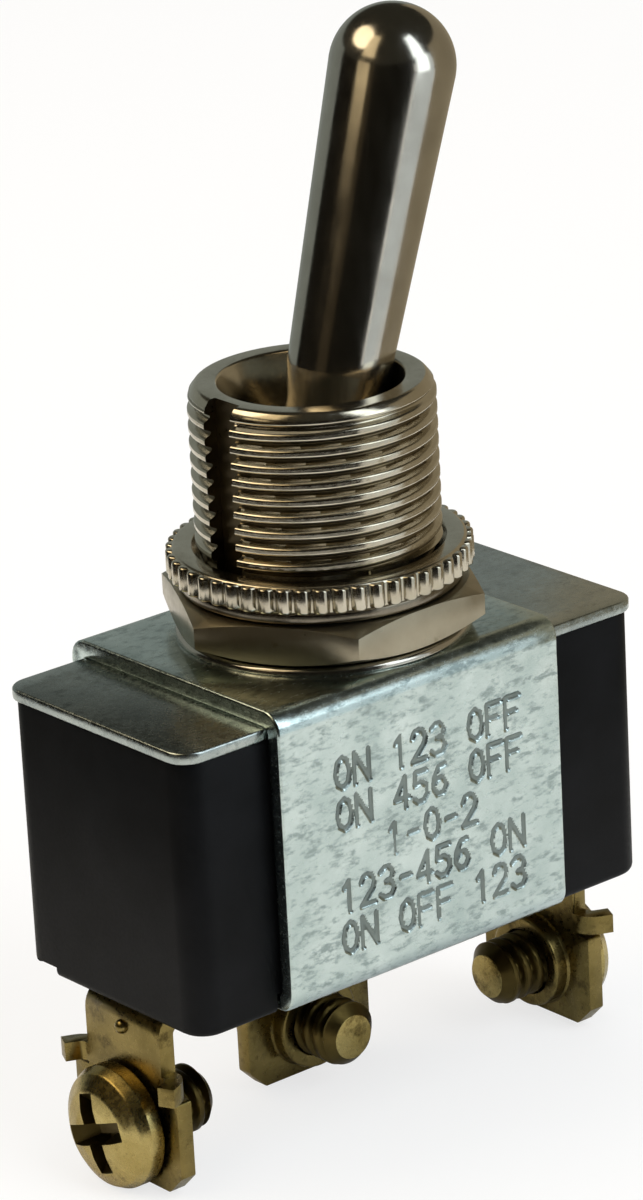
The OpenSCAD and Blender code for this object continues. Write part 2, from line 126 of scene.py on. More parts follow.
def rounded(corners, steps=5):
    """Turns each (x, y, radius) corner of an outline into an arc."""
    out = []
    count = len(corners)
    for i, (x, y, r) in enumerate(corners):
        if r <= 0:
            out.append((x, y))
            continue
        p = Vector((x, y))
        a = (Vector(corners[i - 1][:2]) - p).normalized()
        b = (Vector(corners[(i + 1) % count][:2]) - p).normalized()
        half = a.angle(b) / 2
        centre = p + (a + b).normalized() * (r / math.sin(half))
        start = p + a * (r / math.tan(half)) - centre
        end = p + b * (r / math.tan(half)) - centre
        first = math.atan2(start.y, start.x)
        sweep = (math.atan2(end.y, end.x) - first + math.pi) % (2 * math.pi) - math.pi
        for k in range(steps + 1):
            t = first + sweep * k / steps
            out.append((centre.x + r * math.cos(t), centre.y + r * math.sin(t)))
    return out


def arc(radius, height, start, end, steps):
    """(r, z) points of an arc about a point on the axis, from one angle to another."""
    return [(max(radius * math.cos(math.radians(start + (end - start) * k / steps)), 0),
             height + radius * math.sin(math.radians(start + (end - start) * k / steps)))
            for k in range(steps + 1)]


def lathe(name, profile, sides=96, ring=False, radius=None):
    """Turns (r, z) points about Z. A ring's outline closes on itself; radius() can bend a point."""
    points, index, faces = [], {}, []
    for j, (r, z) in enumerate(profile):
        for i in range(sides):
            if r < 1e-6 and i:
                index[i, j] = index[0, j]
                continue
            a = 2 * math.pi * i / sides
            rr = radius(a, r, z) if radius else r
            index[i, j] = len(points)
            points.append((rr * math.cos(a), rr * math.sin(a), z))
    count = len(profile)
    for j in range(count if ring else count - 1):
        k = (j + 1) % count
        for i in range(sides):
            h = (i + 1) % sides
            face = [index[i, j], index[h, j], index[h, k], index[i, k]]
            face = [v for n, v in enumerate(face) if v != face[n - 1]]
            if len(face) > 2:
                faces.append(face)
    return solid(name, points, faces)


def inset(outline, depth):
    """A closed counter-clockwise outline drawn in by depth."""
    out = []
    count = len(outline)
    for i in range(count):
        a, b, c = Vector(outline[i - 1]), Vector(outline[i]), Vector(outline[(i + 1) % count])
        u, v = (b - a).normalized(), (c - b).normalized()
        nu, nv = Vector((-u.y, u.x)), Vector((-v.y, v.x))
        m = (nu + nv).normalized()
        out.append(b + m * (depth / max(m.dot(nu), 0.4)))
    return out


def sweep(name, outline, stations):
    """Runs an outline along Z through (z, inset) stations and closes both ends."""
    points, faces = [], []
    count = len(outline)
    for z, depth in stations:
        ring = inset(outline, depth) if depth else outline
        points += [(p[0], p[1], z) for p in ring]
    for s in range(len(stations) - 1):
        for i in range(count):
            h = (i + 1) % count
            faces.append([s * count + i, s * count + h, (s + 1) * count + h, (s + 1) * count + i])
    faces.append(list(range(count))[::-1])
    faces.append([(len(stations) - 1) * count + i for i in range(count)])
    return solid(name, points, faces)


def edge_stations(low, high, edge, steps=3):
    """Stations of a slab whose two end edges are rounded."""
    if not edge:
        return [(low, 0), (high, 0)]
    turns = [math.pi / 2 * k / steps for k in range(steps + 1)]
    start = [(low + edge * (1 - math.cos(t)), edge * (1 - math.sin(t))) for t in turns]
    return start + [(high - (z - low), d) for z, d in reversed(start)]


def slab(name, outline, low, high, edge=0.0):
    return sweep(name, outline, edge_stations(low, high, edge))


def bar(length, width, corner, steps=5):
    """A rectangle with rounded corners, centred."""
    x, y = length / 2, width / 2
    return rounded([(-x, -y, corner), (x, -y, corner), (x, y, corner), (-x, y, corner)], steps)


def block(name, x0, x1, y0, y1, z0, z1):
    return sweep(name, [(x0, y0), (x1, y0), (x1, y1), (x0, y1)], [(z0, 0), (z1, 0)])


def baked(obj):
    """Applies what the modifiers make and takes them off."""
    graph = bpy.context.evaluated_depsgraph_get()
    graph.update()
    mesh = bpy.data.meshes.new_from_object(obj.evaluated_get(graph))
    obj.modifiers.clear()
    old = obj.data
    obj.data = mesh
    bpy.data.meshes.remove(old)
    return obj


def carve(obj, tools, operation="DIFFERENCE", solver="EXACT"):
    for tool in tools if isinstance(tools, list) else [tools]:
        cut = obj.modifiers.new("cut", "BOOLEAN")
        cut.operation = operation
        cut.object = tool
        cut.solver = solver
        baked(obj)
        bpy.data.objects.remove(tool)
    return obj


def soften(obj, width, angle=32, segments=2):
    """Breaks the sharp edges by a small bevel."""
    edge = obj.modifiers.new("edge", "BEVEL")
    edge.width = width * MM
    edge.segments = segments
    edge.limit_method = "ANGLE"
    edge.angle_limit = math.radians(angle)
    edge.use_clamp_overlap = True
    return baked(obj)


def merged(name, parts):
    """One object from several."""
    whole = bmesh.new()
    for part in parts:
        whole.from_mesh(part.data)
    mesh = bpy.data.meshes.new(name)
    whole.to_mesh(mesh)
    whole.free()
    for part in parts:
        bpy.data.objects.remove(part)
    obj = bpy.data.objects.new(name, mesh)
    bpy.context.scene.collection.objects.link(obj)
    return obj


def finish(obj, name, body, material, nodes=(), angle=38):
    """Names a piece, smooths it up to an angle, gives it its finish and ties it to its body."""
    obj.name = name
    obj.data.name = name
    obj.data.materials.clear()
    obj.data.materials.append(material)
    obj.data.polygons.foreach_set("material_index", [0] * len(obj.data.polygons))
    obj.data.polygons.foreach_set("use_smooth", [True] * len(obj.data.polygons))
    obj.data.set_sharp_from_angle(angle=math.radians(angle))
    obj.data.update()
    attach(obj, body)
    if nodes:
        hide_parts(*nodes)
    return obj


def faces_where(obj, test):
    """Numbers of the faces whose centre, in millimetres, passes a test."""
    return [f.index for f in obj.data.polygons if test(*[c / MM for c in f.center])]


def second_finish(obj, material, faces):
    """Gives some faces of a finished piece another finish."""
    obj.data.materials.append(material)
    for i in faces:
        obj.data.polygons[i].material_index = len(obj.data.materials) - 1


# ---------------------------------------------------------------- finishes

def tint(code):
    """An sRGB hex colour as linear RGBA."""
    parts = [int(code[i:i + 2], 16) / 255 for i in (1, 3, 5)]
    return [c / 12.92 if c <= 0.04045 else ((c + 0.055) / 1.055) ** 2.4 for c in parts] + [1.0]


def add(tree, kind, settings=None, links=None):
    """Adds a node: settings go to its properties or its inputs, links join sockets to its inputs."""
    node = tree.nodes.new(kind)
    for key, value in (settings or {}).items():
        if isinstance(key, str) and hasattr(node, key):
            setattr(node, key, value)
        else:
            node.inputs[key].default_value = value
    for key, source in (links or {}).items():
        tree.links.new(source, node.inputs[key])
    return node


def new_finish(name):
    """A material with its Principled shader and its Object coordinates in millimetres."""
    material = bpy.data.materials.new(name)
    material.use_nodes = True
    tree = material.node_tree
    tree.nodes.clear()
    shader = add(tree, "ShaderNodeBsdfPrincipled")
    out = add(tree, "ShaderNodeOutputMaterial", links={"Surface": shader.outputs[0]})
    out.location = (300, 0)
    where = add(tree, "ShaderNodeTexCoord")
    mm = add(tree, "ShaderNodeMapping", {"Scale": (1000, 1000, 1000)}, {"Vector": where.outputs["Object"]})
    return material, tree, shader, mm.outputs[0]


def patches(tree, where, size, detail=3, rough=0.55, stretch=None):
    """Soft noise whose lumps are about size millimetres across, from 0 to 1."""
    if stretch:
        where = add(tree, "ShaderNodeMapping", {"Scale": stretch}, {"Vector": where}).outputs[0]
    return add(tree, "ShaderNodeTexNoise", {"Scale": 1 / size, "Detail": detail, "Roughness": rough},
               {"Vector": where}).outputs["Fac"]


def ramp(tree, value, stops):
    """Colours or greys along a value."""
    node = add(tree, "ShaderNodeValToRGB", links={"Fac": value})
    while len(node.color_ramp.elements) < len(stops):
        node.color_ramp.elements.new(0.5)
    for element, (place, colour) in zip(node.color_ramp.elements, stops):
        element.position = place
        element.color = tint(colour) if isinstance(colour, str) else [colour] * 3 + [1]
    return node.outputs[0]


def blend(tree, factor, a, b, how="MIX"):
    """Mixes two colours."""
    node = add(tree, "ShaderNodeMix", {"data_type": "RGBA", "blend_type": how})
    for socket, value in ((node.inputs[0], factor), (node.inputs[6], a), (node.inputs[7], b)):
        if hasattr(value, "links"):
            tree.links.new(value, socket)
        elif isinstance(value, str):
            socket.default_value = tint(value)
        else:
            socket.default_value = value
    return node.outputs[2]


def bump(tree, shader, layers):
    """Stacks bumps of (height, depth in millimetres) into the shader's normal."""
    normal = None
    for height, depth in layers:
        node = add(tree, "ShaderNodeBump", {"Strength": 1.0, "Distance": depth * MM}, {"Height": height})
        if normal:
            tree.links.new(normal, node.inputs["Normal"])
        normal = node.outputs[0]
    tree.links.new(normal, shader.inputs["Normal"])


def plated_metal(name, colours, rough, grain, depth, stain=None, stretch=None, marks=1.4):
    """Metal whose colour and roughness drift in patches, with fine marks and stains of given sizes."""
    material, tree, shader, where = new_finish(name)
    drift = patches(tree, where, 2.6, 4)
    fine = patches(tree, where, grain, 5, 0.65, stretch)
    colour = ramp(tree, drift, [(0.3, colours[0]), (0.7, colours[1])])
    if stain:
        cover = patches(tree, where, marks, 6, 0.7, stretch)
        spots = ramp(tree, cover, [(stain[1], 0.0), (stain[1] + 0.14, 1.0)])
        colour = blend(tree, spots, colour, stain[0])
    tree.links.new(colour, shader.inputs["Base Color"])
    shader.inputs["Metallic"].default_value = 1.0
    sheen = ramp(tree, fine, [(0.3, rough[0]), (0.75, rough[1])])
    tree.links.new(sheen, shader.inputs["Roughness"])
    bump(tree, shader, [(fine, depth), (drift, depth * 3)])
    return material


# Bright nickel over polished brass: near mirror, a warm grey, faint wiping marks along the lever; on the
# bushing's flange it is a painted highlight
bright_nickel_and_flange_highlight = plated_metal("bright_nickel_plate_and_flange_highlight", ("#a39f95", "#b6b2a8"), (0.12, 0.22), 0.5, 0.0006,
                             stretch=(1, 1, 0.15))
# Nickel over turned brass: duller, with a tan cast
turned_nickel = plated_metal("turned_nickel_plate", ("#a69f8d", "#bdb7a8"), (0.13, 0.25), 0.3, 0.001,
                             ("#8f846b", 0.62))
# The hexagon nut's plate is satin and more worn, so its flats look flat
satin_nickel = plated_metal("satin_nickel_plate", ("#8f8774", "#a29b88"), (0.27, 0.4), 0.3, 0.001,
                            ("#7d735b", 0.62))
# Brown tarnish in the roots of a thread, darkened as painted shade there and in the keyway
root_tarnish_and_shade = plated_metal("thread_root_tarnish_and_painted_shade", ("#4f4636", "#6b6048"), (0.26, 0.4), 0.3, 0.001)
# Bright zinc over rolled steel: a cool pale mirror, hazed and dappled by short marks of the rolls
bright_zinc = plated_metal("bright_zinc_plate", ("#a8b8b6", "#c6d3d1"), (0.16, 0.32), 0.32, 0.003,
                           ("#8c9b9a", 0.5), stretch=(0.55, 1, 1.25), marks=0.5)
# Darker, rougher zinc in the bottom of a stamped stroke, as painted shade
stamped_stroke_shade_zinc = plated_metal("stamped_stroke_shade_zinc", ("#6b7573", "#808a87"), (0.3, 0.45), 0.2, 0.002)
# The cover plate's zinc is greyer, with handling marks
dull_zinc = plated_metal("dull_zinc_plate", ("#8b9493", "#a5adaa"), (0.18, 0.36), 0.35, 0.002,
                         ("#757d7b", 0.56), marks=0.9)
# Rolled brass strip, aged to olive
aged_brass = plated_metal("aged_brass_strip", ("#685b33", "#89794a"), (0.22, 0.4), 0.3, 0.002,
                          ("#4b4024", 0.54))
# Turned brass of the clamp screws
screw_brass = plated_metal("turned_brass", ("#8d7b45", "#b3a36c"), (0.2, 0.36), 0.25, 0.002,
                           ("#5a4c28", 0.54))
# Brown oxide on the screws' threaded shanks; the same dark brown in their cross recesses is painted shade
brass_oxide_and_recess_shade = plated_metal("brass_shank_oxide_and_recess_shade", ("#3b3118", "#5c4f2c"), (0.28, 0.42), 0.25, 0.001)
# Half-hard copper of the rocker
copper = plated_metal("copper_strip", ("#a2603a", "#bd7a50"), (0.25, 0.4), 0.3, 0.002)
# Silver contact faces, slightly sooted
silver = plated_metal("silver_contact", ("#b9b8b2", "#d4d3cd"), (0.25, 0.45), 0.3, 0.002, ("#6f6b62", 0.6))
# Drawn steel of the pin and spring
drawn_steel = plated_metal("drawn_steel", ("#7f8183", "#a1a3a5"), (0.2, 0.35), 0.25, 0.001)
# Oiled spring steel of the lock washer, darker than the nuts
spring_steel = plated_metal("oiled_spring_steel", ("#6b655a", "#857e70"), (0.16, 0.28), 0.3, 0.001)


def moulded(name, colours, rough, grain, depth, gloss=0.5):
    """Moulded or pressed sheet: faint cloudiness, fine pores and a soft gloss."""
    material, tree, shader, where = new_finish(name)
    cloud = patches(tree, where, 3.5, 4)
    pores = patches(tree, where, grain, 4, 0.6)
    tree.links.new(ramp(tree, cloud, [(0.3, colours[0]), (0.7, colours[1])]), shader.inputs["Base Color"])
    tree.links.new(ramp(tree, pores, [(0.3, rough[0]), (0.7, rough[1])]), shader.inputs["Roughness"])
    shader.inputs["IOR"].default_value = 1.5
    shader.inputs["Specular IOR Level"].default_value = gloss
    bump(tree, shader, [(pores, depth), (cloud, depth * 3)])
    return material


# Black phenolic moulding: deep black, satin, with a fine matt grain
phenolic = moulded("black_phenolic_moulding", ("#08090a", "#101113"), (0.4, 0.52), 0.18, 0.003, 0.08)
# Red-brown vulcanised fibre
fibre = moulded("vulcanised_fibre", ("#5c261c", "#7a3a2b"), (0.6, 0.75), 0.3, 0.006)
# Natural nylon
nylon = moulded("natural_nylon", ("#c9c2ae", "#ddd7c6"), (0.35, 0.45), 0.5, 0.002)


# ---------------------------------------------------------------- repeated copies

def ring_of_copies():
    """Geometry Nodes: sets copies of a shape round the Z axis, each turned to face outward."""
    tree = bpy.data.node_groups.new("ring_of_copies", "GeometryNodeTree")
    face = tree.interface
    face.new_socket("Geometry", in_out="INPUT", socket_type="NodeSocketGeometry")
    for name, kind, value in (("Count", "NodeSocketInt", 12), ("Radius", "NodeSocketFloat", 0.005),
                              ("Finish", "NodeSocketMaterial", None)):
        socket = face.new_socket(name, in_out="INPUT", socket_type=kind)
        if value is not None:
            socket.default_value = value
    face.new_socket("Geometry", in_out="OUTPUT", socket_type="NodeSocketGeometry")
    given = add(tree, "NodeGroupInput")
    circle = add(tree, "GeometryNodeMeshCircle", links={"Vertices": given.outputs["Count"],
                                                       "Radius": given.outputs["Radius"]})
    order = add(tree, "GeometryNodeInputIndex")
    share = add(tree, "ShaderNodeMath", {"operation": "DIVIDE"},
                {0: order.outputs[0], 1: given.outputs["Count"]})
    angle = add(tree, "ShaderNodeMath", {"operation": "MULTIPLY", 1: 2 * math.pi}, {0: share.outputs[0]})
    spin = add(tree, "ShaderNodeCombineXYZ", links={"Z": angle.outputs[0]})
    copies = add(tree, "GeometryNodeInstanceOnPoints", links={
        "Points": circle.outputs["Mesh"], "Instance": given.outputs["Geometry"], "Rotation": spin.outputs[0]})
    real = add(tree, "GeometryNodeRealizeInstances", links={"Geometry": copies.outputs[0]})
    coated = add(tree, "GeometryNodeSetMaterial", links={"Geometry": real.outputs[0],
                                                        "Material": given.outputs["Finish"]})
    add(tree, "NodeGroupOutput", links={"Geometry": coated.outputs[0]})
    return tree


copies_tree = ring_of_copies()


def around(obj, count, radius, material):
    """Repeats obj count times on a circle and makes the result a plain mesh."""
    modifier = obj.modifiers.new("copies", "NODES")
    modifier.node_group = copies_tree
    inputs = {s.name: s.identifier for s in copies_tree.interface.items_tree
              if s.item_type == "SOCKET" and s.in_out == "INPUT"}
    modifier[inputs["Count"]] = count
    modifier[inputs["Radius"]] = radius * MM
    modifier[inputs["Finish"]] = material
    obj.update_tag()
    return baked(obj)


# ---------------------------------------------------------------- lever

PIVOT_Z = 2.16
TILT = 16.75
upright = at(0, 0, PIVOT_Z) @ turn(TILT, "Y")

# The lever's round tip, its shank at the mouth and its hollow tail, from the pivot out
LEVER_LEN = 23.36
SHANK_R, SHANK_Z = 2.46, 6
TAIL_R, TAIL_BORE_R, TAIL_Z = 1.8, 1.25, -12.5
BALL_R = 4.1
tip_r = 2.99
tip_s = LEVER_LEN - tip_r
lever_outline = ([(0, -1.7), (TAIL_BORE_R, -1.7), (TAIL_BORE_R, TAIL_Z)]
                 + rounded([(TAIL_BORE_R, TAIL_Z, 0), (TAIL_R, TAIL_Z, 0.15), (TAIL_R, -3.7, 0)], 3)[1:]
                 + arc(BALL_R, 0, -63.9, 57.4, 28)
                 + rounded([(2.2, 3.46, 0), (2.2, 4.4, 0), (SHANK_R, SHANK_Z, 1.5), (tip_r, tip_s, 0)],
                           6)[1:3]
                 + [(SHANK_R + (tip_r - SHANK_R) * k / 12, SHANK_Z + (tip_s - SHANK_Z) * k / 12)
                    for k in range(13)]
                 + arc(tip_r, tip_s, 2.1, 90, 22)[1:])
bat = move(lathe("bat", lever_outline, 112), upright)
finish(bat, "bat_lever", "lever", bright_nickel_and_flange_highlight, ["lever"])

# ---------------------------------------------------------------- bushing

# The thread: 32 turns to the inch, its crest radius and the depth of its groove
PITCH = 0.79375
THREAD_R = 5.85
THREAD_DEPTH = 0.40
RIM_Z = 7.94
FLANGE_R = 7.05
foot_z = low_mm("bushing")[2]
flange_top = -4.0
strap_top = high_mm("frame_strap")[2]


def thread_cut(phase):
    """How far the groove goes in, from 0 on the crest to 1 at the root."""
    t = abs((phase % 1.0) - 0.5) * 2
    return 0.5 + 0.5 * math.cos(math.pi * min(max((t - 0.06) / 0.66, 0), 1))


def bushing_radius(angle, r, z):
    """Cuts the helix into the outer wall and lets it run out under the rim."""
    if r < 5.5 or z <= 0.02:
        return r
    crest = r - THREAD_DEPTH * thread_cut(z / PITCH - angle / (2 * math.pi))
    worn = min(max((RIM_Z - 0.42 - z) / 0.35, 0), 1)
    return crest * worn + min(r, THREAD_R - 0.12) * (1 - worn)


rows = int((RIM_Z - 0.4) / (PITCH / 18))
thread_rows = [(THREAD_R, 0.03 + (RIM_Z - 0.45 - 0.03) * k / rows) for k in range(rows + 1)]
bushing_outline = (
    rounded([(4.6, foot_z, 0), (5.3, foot_z, 0.08), (5.3, -5.82, 0), (5.0, -5.82, 0), (5.0, strap_top, 0),
             (FLANGE_R, strap_top, 0.05), (FLANGE_R, flange_top, 0.28), (5.55, flange_top, 0),
             (5.55, 0, 0)], 5)
    + thread_rows
    + rounded([(THREAD_R, RIM_Z - 0.47, 0), (THREAD_R, RIM_Z - 0.43, 0.2), (5.42, RIM_Z, 0.3),
               (4.43, RIM_Z, 0.16), (3.35, 5.1, 0.5), (4.4, 3.2, 0), (4.4, -3.0, 0),
               (4.6, flange_top, 0)], 5)[1:])
shell = lathe("shell", bushing_outline, 180, ring=True, radius=bushing_radius)
# The keyway, then the slots that the pivot pin drops into and its round seats
cuts = [block("key", -7, -(THREAD_R - 0.84), -0.925, 0.925, flange_top + 0.01, RIM_Z + 1)]
for side in (-1, 1):
    for reach, height in ((4.85, PIVOT_Z), (6.9, strap_top - 0.01)):
        near, far = sorted((0, side * reach))
        cuts.append(block("slot", -0.85, 0.85, near, far, foot_z - 1, height))
    cuts.append(move(lathe("slot_end", [(0, -2.42), (0.85, -2.42), (0.85, 2.42), (0, 2.42)], 32),
                     at(0, side * 2.43, PIVOT_Z) @ FACE_Y))
carve(shell, cuts, solver="MANIFOLD")
finish(shell, "threaded_bushing", "housing", turned_nickel, ["bushing"], 58)
# The deepest thread roots and the keyway take the darker brown: tarnish with painted shade
second_finish(shell, root_tarnish_and_shade, faces_where(
    shell, lambda x, y, z: 0.05 < z < RIM_Z - 0.9 and 4.95 < math.hypot(x, y) < THREAD_R - 0.32
    or z > 0 and x < -4.9 and abs(y) < 0.93))
# The flange takes the brighter, unstained nickel as a painted highlight
second_finish(shell, bright_nickel_and_flange_highlight, faces_where(shell, lambda x, y, z: strap_top < z < flange_top + 0.05))

# ---------------------------------------------------------------- ring nut, washer, hex nut

NUT_BORE_R = 5.6
RING_R = 7.02
FLUTES = 50
ring_low, ring_high = low_mm("ring_nut")[2], high_mm("ring_nut")[2]
nut_ring = lathe("nut_ring", rounded([
    (NUT_BORE_R, ring_low, 0.05), (RING_R, ring_low, 0.1), (RING_R, ring_high, 0.2),
    (6.05, ring_high, 0.06), (NUT_BORE_R, ring_high - 0.45, 0)], 4), 150, ring=True)
finish(nut_ring, "ring_nut_body", "ring_nut", turned_nickel, ["ring_nut"])
bead = [(-0.2, -0.42), (0.0, -0.4)] + [
    (0.02 + 0.27 * math.cos(math.radians(t)), 0.33 * math.sin(math.radians(t))) for t in range(-75, 76, 15)
] + [(0.0, 0.4), (-0.2, 0.42)]
flute = slab("flute", bead, ring_low + 0.03, ring_high - 0.07, 0.12)
around(flute, FLUTES, 7.0, turned_nickel)
finish(flute, "ring_nut_flutes", "ring_nut", turned_nickel)

washer_low, washer_high = low_mm("lock_washer")[2], high_mm("lock_washer")[2]
washer = lathe("washer", rounded([
    (6.1, washer_low, 0), (6.75, washer_low, 0.16), (6.75, washer_high, 0.16), (6.1, washer_high, 0)], 4),
    128, ring=True)
finish(washer, "lock_washer_ring", "housing", spring_steel, ["lock_washer"])
tooth = slab("tooth", [(-0.2, -0.72), (0.25, -0.72), (0.25, 0.72), (-0.2, 0.6)], washer_low, washer_high,
             0.05)
around(tooth, 12, 5.92, spring_steel)
finish(tooth, "lock_washer_teeth", "housing", spring_steel)

hex_low, hex_high = low_mm("hex_nut")[2], high_mm("hex_nut")[2]
# Width across the flats, and how far the nut happens to be turned, in degrees
AF = 13.9
HEX_TURN = 2
corner = AF / math.sqrt(3)
hexagon = [(corner * math.cos(a), corner * math.sin(a))
           for a in (math.radians(HEX_TURN + 60 * k) for k in range(6))]
jam = slab("jam", hexagon, hex_low, hex_high)
carve(jam, lathe("turned", rounded([(0, hex_low - 0.001, 0), (AF / 2 - 0.2, hex_low - 0.001, 0.1),
                                    (corner + 0.08, hex_low + 0.65, 0.1),
                                    (corner + 0.08, hex_high - 0.35, 0.1),
                                    (AF / 2 + 0.06, hex_high + 0.001, 0.1),
                                    (0, hex_high + 0.001, 0)], 3), 144),
      "INTERSECT")
carve(jam, lathe("nut_bore", [(0, hex_low - 1), (NUT_BORE_R, hex_low - 1), (NUT_BORE_R, hex_high + 1),
                              (0, hex_high + 1)], 96))
soften(jam, 0.09, 20)
finish(jam, "hex_nut_turned", "hex_nut", satin_nickel, ["hex_nut"])

# ---------------------------------------------------------------- strap with its stamping

# The strokes of each letter in a box one wide and one high
STROKES = {
    "0": [[(.5, 1), (.15, .86), (0, .5), (.15, .14), (.5, 0), (.85, .14), (1, .5), (.85, .86), (.5, 1)]],
    "1": [[(.2, .8), (.55, 1), (.55, 0)]],
    "2": [[(.02, .78), (.2, .96), (.5, 1), (.82, .94), (.98, .73), (.85, .5), (0, 0), (1, 0)]],
    "3": [[(.02, .88), (.3, 1), (.7, 1), (.95, .8), (.8, .57), (.42, .53)],
          [(.42, .53), (.85, .46), (1, .24), (.75, .02), (.3, 0), (0, .14)]],
    "4": [[(.75, 0), (.75, 1), (0, .3), (1, .3)]],
    "5": [[(.95, 1), (.12, 1), (.06, .58), (.55, .64), (.92, .48), (.96, .22), (.65, .01), (.25, 0),
           (0, .14)]],
    "6": [[(.88, .96), (.45, .92), (.1, .6), (.03, .28), (.3, .02), (.7, .02), (.98, .27), (.75, .54),
           (.35, .55), (.06, .36)]],
    "N": [[(0, 0), (0, 1), (1, 0), (1, 1)]],
    "F": [[(1, 1), (0, 1), (0, 0)], [(0, .52), (.75, .52)]],
    "-": [[(.15, .48), (.85, .48)]],
}
STROKES["O"] = STROKES["0"]
STAMPED = ["ON 123 OFF", "ON 456 OFF", "1-0-2", "123-456 ON", "ON OFF 123"]
LETTER_H = 1.5
LETTER_W = 0.86
ADVANCE = 1.17
LINE_GAP = 2.06
STAMP_DEPTH = 0.1
# Half width of a stroke with its sloped sides, and how wide the slope is
STROKE_HALF, STROKE_SLOPE = 0.19, 0.13
# How far the strap's face lies in and waves, on average and at most
FACE_SINK, FACE_WAVE = 0.012, 0.012
STRAP_T = 0.85
STRAP_Y = 7.7

SPIGOT_HOLE_R = 5.03

strap_low, strap_high = low_mm("frame_strap"), high_mm("frame_strap")
strap_mid = (strap_low[0] + strap_high[0]) / 2


def stamped_strokes():
    """Every stroke as x1, z1, x2, z2 and how hard it was struck."""
    rows_out = []
    for line, text in enumerate(STAMPED):
        x0 = strap_mid + 0.35 - ADVANCE * (len(text) - 1) / 2 - LETTER_W / 2
        z0 = strap_high[2] - 4.6 - LINE_GAP * line
        for place, letter in enumerate(text):
            force = 0.85 + 0.4 * noise.noise(Vector((place * 0.9, line * 1.7, 3.1)))
            for stroke in STROKES.get(letter, []):
                for a, b in zip(stroke, stroke[1:]):
                    rows_out.append((x0 + place * ADVANCE + a[0] * LETTER_W, z0 + a[1] * LETTER_H,
                                     x0 + place * ADVANCE + b[0] * LETTER_W, z0 + b[1] * LETTER_H, force))
    return np.array(rows_out)


def press_stamping(obj, face_y):
    """Sinks the strokes into the front face, leaves the face very slightly uneven, and
    returns the depth past which a face belongs to a stroke."""
    count = len(obj.data.vertices)
    co = np.empty(count * 3)
    obj.data.vertices.foreach_get("co", co)
    co = co.reshape(-1, 3)
    front = np.where((np.abs(co[:, 1] - face_y * MM) < 2e-6) & (co[:, 2] > (strap_low[2] + 1.2) * MM)
                     & (co[:, 2] < (strap_high[2] - 1.2) * MM))[0]
    x, z = co[front, 0] / MM, co[front, 2] / MM
    sunk = np.zeros(len(front))
    for x1, z1, x2, z2, force in stamped_strokes():
        near = np.where((x > min(x1, x2) - 0.4) & (x < max(x1, x2) + 0.4)
                        & (z > min(z1, z2) - 0.4) & (z < max(z1, z2) + 0.4))[0]
        dx, dz = x2 - x1, z2 - z1
        t = np.clip(((x[near] - x1) * dx + (z[near] - z1) * dz) / (dx * dx + dz * dz), 0, 1)
        gap = np.hypot(x[near] - x1 - t * dx, z[near] - z1 - t * dz)
        fall = np.clip((STROKE_HALF - gap) / STROKE_SLOPE, 0, 1)
        sunk[near] = np.maximum(sunk[near], STAMP_DEPTH * force * fall * fall * (3 - 2 * fall))
    for n, i in enumerate(front):
        wave = noise.noise(Vector((x[n] * 0.33, 7.0, z[n] * 0.33)))
        co[i, 1] += (sunk[n] + FACE_SINK + FACE_WAVE * wave) * MM
    obj.data.vertices.foreach_set("co", co.ravel())
    obj.data.update()
    return face_y + FACE_SINK + FACE_WAVE + 0.03


def strap_outline():
    """The bent strap in Y and Z, counter-clockwise, with the front leg finely divided."""
    out_y = STRAP_Y
    in_y = out_y - STRAP_T
    top, foot = strap_high[2], strap_low[2]
    outline = rounded([
        (-out_y, foot, 1.0), (-5.1, foot, 0.15), (-5.1, foot + STRAP_T, 0.15), (-in_y, foot + STRAP_T, 0.3),
        (-in_y, top - STRAP_T, 0.3), (in_y, top - STRAP_T, 0.3), (in_y, foot + STRAP_T, 0.3),
        (5.1, foot + STRAP_T, 0.15), (5.1, foot, 0.15), (out_y, foot, 1.0), (out_y, top, 1.0),
        (-out_y, top, 1.0)], 6)
    out = []
    for a, b in zip(outline, outline[1:] + outline[:1]):
        out.append(a)
        long_front = abs(a[0] + out_y) < 1e-6 and abs(b[0] + out_y) < 1e-6 and abs(a[1] - b[1]) > 2
        steps = 190 if long_front else 1
        out += [(a[0] + (b[0] - a[0]) * k / steps, a[1] + (b[1] - a[1]) * k / steps) for k in range(1, steps)]
    return out


ends = edge_stations(strap_low[0], strap_high[0], 0.14, 4)
fine = [(strap_mid - 7.0 + 14.0 * k / 205, 0) for k in range(206)]
strap = move(sweep("strap", strap_outline(), ends[:5] + fine + ends[5:]), FACE_X)
stroke_y = press_stamping(strap, -STRAP_Y)
carve(strap, lathe("spigot_hole", [(0, strap_top - 2), (SPIGOT_HOLE_R, strap_top - 2),
                                   (SPIGOT_HOLE_R, strap_top + 1), (0, strap_top + 1)], 96),
      solver="MANIFOLD")
finish(strap, "frame_strap_stamped", "housing", bright_zinc, ["frame_strap"], 30)
# Faces sunk into the strokes take the darker zinc as painted shade
second_finish(strap, stamped_stroke_shade_zinc, faces_where(
    strap, lambda x, y, z: stroke_y < y < -7.5 and strap_low[2] + 1 < z < strap_high[2] - 1.1
    and abs(x - strap_mid) < 7))

# ---------------------------------------------------------------- cover plate and case

plate_low, plate_high = low_mm("cover_plate"), high_mm("cover_plate")
plate = slab("plate", bar(plate_high[0] - plate_low[0], plate_high[1] - plate_low[1], 1.2, 7),
             plate_low[2], plate_high[2], 0.13)
carve(plate, lathe("spigot_hole", [(0, -9), (SPIGOT_HOLE_R, -9), (SPIGOT_HOLE_R, -3), (0, -3)], 96))
finish(plate, "cover_plate_rounded", "housing", dull_zinc, ["cover_plate"])

